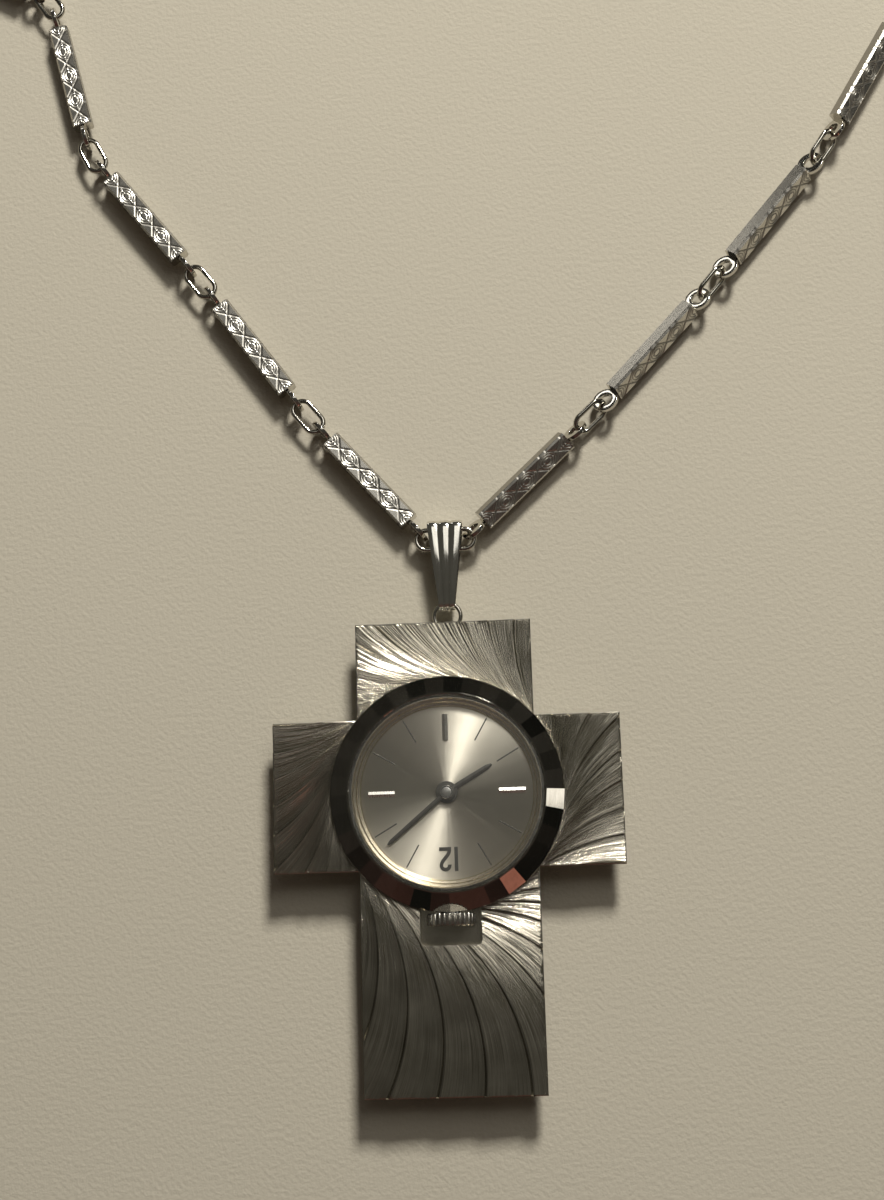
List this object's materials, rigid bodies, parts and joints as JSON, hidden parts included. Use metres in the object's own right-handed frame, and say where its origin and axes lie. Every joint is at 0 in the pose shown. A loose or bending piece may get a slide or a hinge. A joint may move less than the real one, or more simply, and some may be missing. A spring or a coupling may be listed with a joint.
{
  "type": "pendant watch",
  "caption": "Hand-wound watch set in a thin fluted cross, hung by a jump ring and tapering bail on an unclasped chain of engraved bar links",
  "frame": {"origin": "middle of the case back's outer face, on which the watch lies", "axes": "+X to the right and +Y towards the bail as seen from the front, +Z out of the dial; -Z is the case back's outward normal"},
  "size_m": [0.1805, 0.149, 0.0073],
  "materials": {
    "satin_silver": "satin",
    "bright_steel": "polished",
    "case_steel": "brushed",
    "crystal": "polished",
    "dial_silver": "sunburst",
    "inner_ring_metal": "polished",
    "dark_hand": "satin",
    "movement_brass": "matte",
    "movement_nickel": "frosted",
    "movement_steel": "polished",
    "blued_steel": "blued",
    "ruby": "polished",
    "chain_silver": "engraved"
  },
  "bodies": {
    "watch": {"cross_plate": "satin_silver", "case_body": "case_steel", "case_back": "case_steel", "bezel": "bright_steel", "crystal": "crystal", "inner_ring": "inner_ring_metal", "dial": "dial_silver", "dial_markers": "dark_hand", "main_plate": "movement_nickel", "barrel_bridge": "movement_nickel", "train_bridge": "movement_nickel", "pallet_bridge": "movement_nickel", "balance_cock": "movement_nickel", "jewels": "ruby", "bridge_screws": "blued_steel"},
    "hour_hand": {"hour_hand": "dark_hand", "hour_wheel": "movement_brass"},
    "minute_hand": {"minute_hand": "dark_hand", "cannon_pinion": "movement_steel"},
    "minute_wheel": {"minute_wheel": "movement_brass"},
    "winding_pinion": {"winding_pinion": "movement_steel"},
    "crown": {"crown": "bright_steel", "winding_stem": "movement_steel"},
    "sliding_pinion": {"sliding_pinion": "movement_steel"},
    "setting_lever": {"setting_lever": "movement_steel"},
    "yoke": {"yoke": "movement_steel"},
    "crown_wheel": {"crown_wheel": "movement_steel"},
    "ratchet": {"ratchet_wheel": "movement_steel", "barrel_arbor": "movement_steel"},
    "click": {"click": "movement_steel"},
    "barrel": {"mainspring_barrel": "movement_brass", "mainspring": "movement_steel"},
    "centre_wheel": {"centre_wheel": "movement_brass"},
    "third_wheel": {"third_wheel": "movement_brass"},
    "fourth_wheel": {"fourth_wheel": "movement_brass"},
    "escape_wheel": {"escape_wheel": "movement_steel"},
    "pallet_fork": {"pallet_fork": "movement_steel"},
    "balance": {"balance_wheel": "movement_brass", "hairspring": "blued_steel"},
    "jump_ring": {"jump_ring": "bright_steel"},
    "bail": {"bail": "bright_steel"},
    "centre_link": {"centre_link": "bright_steel"},
    "clasp_body": {"clasp_body": "bright_steel"},
    "clasp_trigger": {"clasp_trigger": "bright_steel"},
    "chain_bar_left_1": {"chain_bar_left_1": "chain_silver"},
    "chain_ring_left_1": {"chain_ring_left_1": "bright_steel"},
    "chain_bar_left_2": {"chain_bar_left_2": "chain_silver"},
    "chain_ring_left_2": {"chain_ring_left_2": "bright_steel"},
    "chain_bar_left_3": {"chain_bar_left_3": "chain_silver"},
    "chain_ring_left_3": {"chain_ring_left_3": "bright_steel"},
    "chain_bar_left_4": {"chain_bar_left_4": "chain_silver"},
    "rear_chain_left": {"rear_chain_left": "chain_silver"},
    "chain_bar_right_1": {"chain_bar_right_1": "chain_silver"},
    "chain_ring_right_1": {"chain_ring_right_1": "bright_steel"},
    "chain_bar_right_2": {"chain_bar_right_2": "chain_silver"},
    "chain_ring_right_2": {"chain_ring_right_2": "bright_steel"},
    "chain_bar_right_3": {"chain_bar_right_3": "chain_silver"},
    "chain_ring_right_3": {"chain_ring_right_3": "bright_steel"},
    "chain_bar_right_4": {"chain_bar_right_4": "chain_silver"},
    "rear_chain_right": {"rear_chain_right": "chain_silver"}
  },
  "joints": [
    {"name": "minute_turn", "type": "hinge", "parent": "watch", "child": "minute_hand", "pos_m": [0, 0, 0.00552], "axis": [0, 0, -1], "continuous": true},
    {"name": "hour_turn", "type": "hinge", "parent": "watch", "child": "hour_hand", "pos_m": [0, 0, 0.0052], "axis": [0, 0, -1], "continuous": true},
    {"name": "minute_wheel_turn", "type": "hinge", "parent": "watch", "child": "minute_wheel", "pos_m": [0.00107, 0.00186, 0.00425], "axis": [0, 0, -1], "continuous": true},
    {"name": "crown_turn", "type": "hinge", "parent": "watch", "child": "winding_pinion", "pos_m": [0, -0.00675, 0.0031], "axis": [0, -1, 0], "continuous": true},
    {"name": "crown_wheel_turn", "type": "hinge", "parent": "watch", "child": "crown_wheel", "pos_m": [0.0005, -0.0055, 0.00075], "axis": [0, 0, 1], "continuous": true},
    {"name": "ratchet_turn", "type": "hinge", "parent": "watch", "child": "ratchet", "pos_m": [0.00437, -0.00159, 0.00075], "axis": [0, 0, 1], "continuous": true},
    {"name": "crown_pull", "type": "slide", "parent": "winding_pinion", "child": "crown", "axis": [0, -1, 0], "range_m": [0, 0.0008]},
    {"name": "sliding_pinion_shift", "type": "slide", "parent": "winding_pinion", "child": "sliding_pinion", "axis": [0, 1, 0], "range_m": [0, 0.0005]},
    {"name": "setting_lever_swing", "type": "hinge", "parent": "watch", "child": "setting_lever", "pos_m": [0.00194, -0.00873, 0.0042], "axis": [0, 0, 1], "range_deg": [0, 23.31]},
    {"name": "yoke_swing", "type": "hinge", "parent": "watch", "child": "yoke", "pos_m": [-0.0024, -0.00573, 0.0042], "axis": [0, 0, 1], "range_deg": [0, 11.9]},
    {"name": "click_swing", "type": "hinge", "parent": "watch", "child": "click", "pos_m": [0.00656, 0.0022, 0.00075], "axis": [0, 0, 1], "range_deg": [-8, 8], "stiffness_Nm_per_rad": 0.0000001},
    {"name": "fourth_turn", "type": "hinge", "parent": "watch", "child": "fourth_wheel", "pos_m": [-0.00529, -0.00107, 0.0025], "axis": [0, 0, -1], "continuous": true},
    {"name": "third_turn", "type": "hinge", "parent": "watch", "child": "third_wheel", "pos_m": [-0.00338, 0.00091, 0.0025], "axis": [0, 0, -1], "continuous": true},
    {"name": "centre_turn", "type": "hinge", "parent": "watch", "child": "centre_wheel", "pos_m": [0, 0, 0.0025], "axis": [0, 0, -1], "continuous": true},
    {"name": "barrel_turn", "type": "hinge", "parent": "watch", "child": "barrel", "pos_m": [0.00437, -0.00159, 0.0025], "axis": [0, 0, -1], "continuous": true},
    {"name": "escape_turn", "type": "hinge", "parent": "watch", "child": "escape_wheel", "pos_m": [-0.00678, 0.00106, 0.0025], "axis": [0, 0, -1], "continuous": true},
    {"name": "pallet_swing", "type": "hinge", "parent": "watch", "child": "pallet_fork", "pos_m": [-0.00554, 0.0025, 0.0025], "axis": [0, 0, 1], "range_deg": [-5, 5]},
    {"name": "balance_swing", "type": "hinge", "parent": "watch", "child": "balance", "pos_m": [-0.00323, 0.00517, 0.0025], "axis": [0, 0, 1], "range_deg": [-150, 150], "stiffness_Nm_per_rad": 0.000000025},
    {"name": "ring_hang", "type": "hinge", "parent": "watch", "child": "jump_ring", "pos_m": [0, 0.0192, 0.00235], "axis": [1, 0, 0], "range_deg": [-60, 45]},
    {"name": "bail_swing", "type": "hinge", "parent": "jump_ring", "child": "bail", "pos_m": [0.00055, 0.02081, 0.00225], "axis": [0, 0, 1], "range_deg": [-30, 30]},
    {"name": "centre_link_rock", "type": "hinge", "parent": "bail", "child": "centre_link", "pos_m": [0.00055, 0.03019, 0.0017], "axis": [1, 0, 0], "range_deg": [-8, 8]},
    {"name": "link_swing_left_1", "type": "hinge", "parent": "centre_link", "child": "chain_bar_left_1", "pos_m": [-0.0017, 0.03019, 0.0017], "axis": [0, 0, 1], "range_deg": [-15, 45]},
    {"name": "ring_lift_left_1", "type": "hinge", "parent": "chain_bar_left_1", "child": "chain_ring_left_1", "pos_m": [-0.01398, 0.04416, 0.0017], "axis": [-0.7513, -0.66, 0], "range_deg": [-60, 60]},
    {"name": "link_swing_left_2", "type": "hinge", "parent": "chain_ring_left_1", "child": "chain_bar_left_2", "pos_m": [-0.01638, 0.04704, 0.0017], "axis": [0, 0, -1], "range_deg": [-40, 40]},
    {"name": "ring_lift_left_2", "type": "hinge", "parent": "chain_bar_left_2", "child": "chain_ring_left_2", "pos_m": [-0.02729, 0.06204, 0.0017], "axis": [0.809, 0.5878, 0], "range_deg": [-60, 60]},
    {"name": "link_swing_left_3", "type": "hinge", "parent": "chain_ring_left_2", "child": "chain_bar_left_3", "pos_m": [-0.02954, 0.06504, 0.0017], "axis": [0, 0, 1], "range_deg": [-40, 40]},
    {"name": "ring_lift_left_3", "type": "hinge", "parent": "chain_bar_left_3", "child": "chain_ring_left_3", "pos_m": [-0.04108, 0.07956, 0.0017], "axis": [-0.7826, -0.6225, 0], "range_deg": [-60, 60]},
    {"name": "link_swing_left_4", "type": "hinge", "parent": "chain_ring_left_3", "child": "chain_bar_left_4", "pos_m": [-0.04305, 0.08273, 0.0017], "axis": [0, 0, -1], "range_deg": [-40, 40]},
    {"name": "ring_lift_left_4", "type": "hinge", "parent": "chain_bar_left_4", "child": "rear_chain_left", "pos_m": [-0.04754, 0.10073, 0.0017], "axis": [0.9703, 0.2419, 0], "range_deg": [-30, 30]},
    {"name": "link_swing_right_1", "type": "hinge", "parent": "centre_link", "child": "chain_bar_right_1", "pos_m": [0.0028, 0.03019, 0.0017], "axis": [0, 0, -1], "range_deg": [-8, 45]},
    {"name": "ring_lift_right_1", "type": "hinge", "parent": "chain_bar_right_1", "child": "chain_ring_right_1", "pos_m": [0.01647, 0.0428, 0.0017], "axis": [-0.5873, 0.6365, 0.5], "range_deg": [-60, 60]},
    {"name": "link_swing_right_2", "type": "hinge", "parent": "chain_ring_right_1", "child": "chain_bar_right_2", "pos_m": [0.01923, 0.04534, 0.0017], "axis": [0.4693, -0.5122, 0.7193], "range_deg": [-40, 40]},
    {"name": "ring_lift_right_2", "type": "hinge", "parent": "chain_bar_right_2", "child": "chain_ring_right_2", "pos_m": [0.03207, 0.05873, 0.0017], "axis": [0.3825, -0.3668, -0.848], "range_deg": [-60, 60]},
    {"name": "link_swing_right_3", "type": "hinge", "parent": "chain_ring_right_2", "child": "chain_bar_right_3", "pos_m": [0.03459, 0.06151, 0.0017], "axis": [-0.64, 0.5564, -0.5299], "range_deg": [-40, 40]},
    {"name": "ring_lift_right_3", "type": "hinge", "parent": "chain_bar_right_3", "child": "chain_ring_right_3", "pos_m": [0.04676, 0.07551, 0.0017], "axis": [-0.3999, 0.3477, 0.848], "range_deg": [-60, 60]},
    {"name": "link_swing_right_4", "type": "hinge", "parent": "chain_ring_right_3", "child": "chain_bar_right_4", "pos_m": [0.04905, 0.07847, 0.0017], "axis": [0.6236, -0.4448, 0.6428], "range_deg": [-40, 40]},
    {"name": "ring_lift_right_4", "type": "hinge", "parent": "chain_bar_right_4", "child": "rear_chain_right", "pos_m": [0.05874, 0.09428, 0.0017], "axis": [0.6898, -0.4227, -0.5878], "range_deg": [-30, 30]},
    {"name": "clasp_swing", "type": "hinge", "parent": "rear_chain_left", "child": "clasp_body", "pos_m": [-0.08167, 0.02826, 0.0017], "axis": [0, 0, 1], "range_deg": [-45, 45]},
    {"name": "clasp_trigger_pull", "type": "hinge", "parent": "clasp_body", "child": "clasp_trigger", "pos_m": [-0.08187, 0.02232, 0.0017], "axis": [0, 0, 1], "range_deg": [0, 45], "stiffness_Nm_per_rad": 0.0001}
  ],
  "couplings": [
    {"joint": "hour_turn", "follows": "minute_turn", "ratio": 0.083333},
    {"joint": "minute_wheel_turn", "follows": "minute_turn", "ratio": -0.33333},
    {"joint": "crown_wheel_turn", "follows": "crown_turn", "ratio": 0.5},
    {"joint": "ratchet_turn", "follows": "crown_turn", "ratio": -0.29412},
    {"joint": "sliding_pinion_shift", "follows": "crown_pull", "ratio": 0.625},
    {"joint": "setting_lever_swing", "follows": "crown_pull", "rad_per_m": 508.34},
    {"joint": "yoke_swing", "follows": "crown_pull", "rad_per_m": 259.5},
    {"joint": "third_turn", "follows": "fourth_turn", "ratio": -0.13333},
    {"joint": "centre_turn", "follows": "fourth_turn", "ratio": 0.016667},
    {"joint": "barrel_turn", "follows": "fourth_turn", "ratio": -0.0023148},
    {"joint": "escape_turn", "follows": "fourth_turn", "ratio": -7}
  ]
}
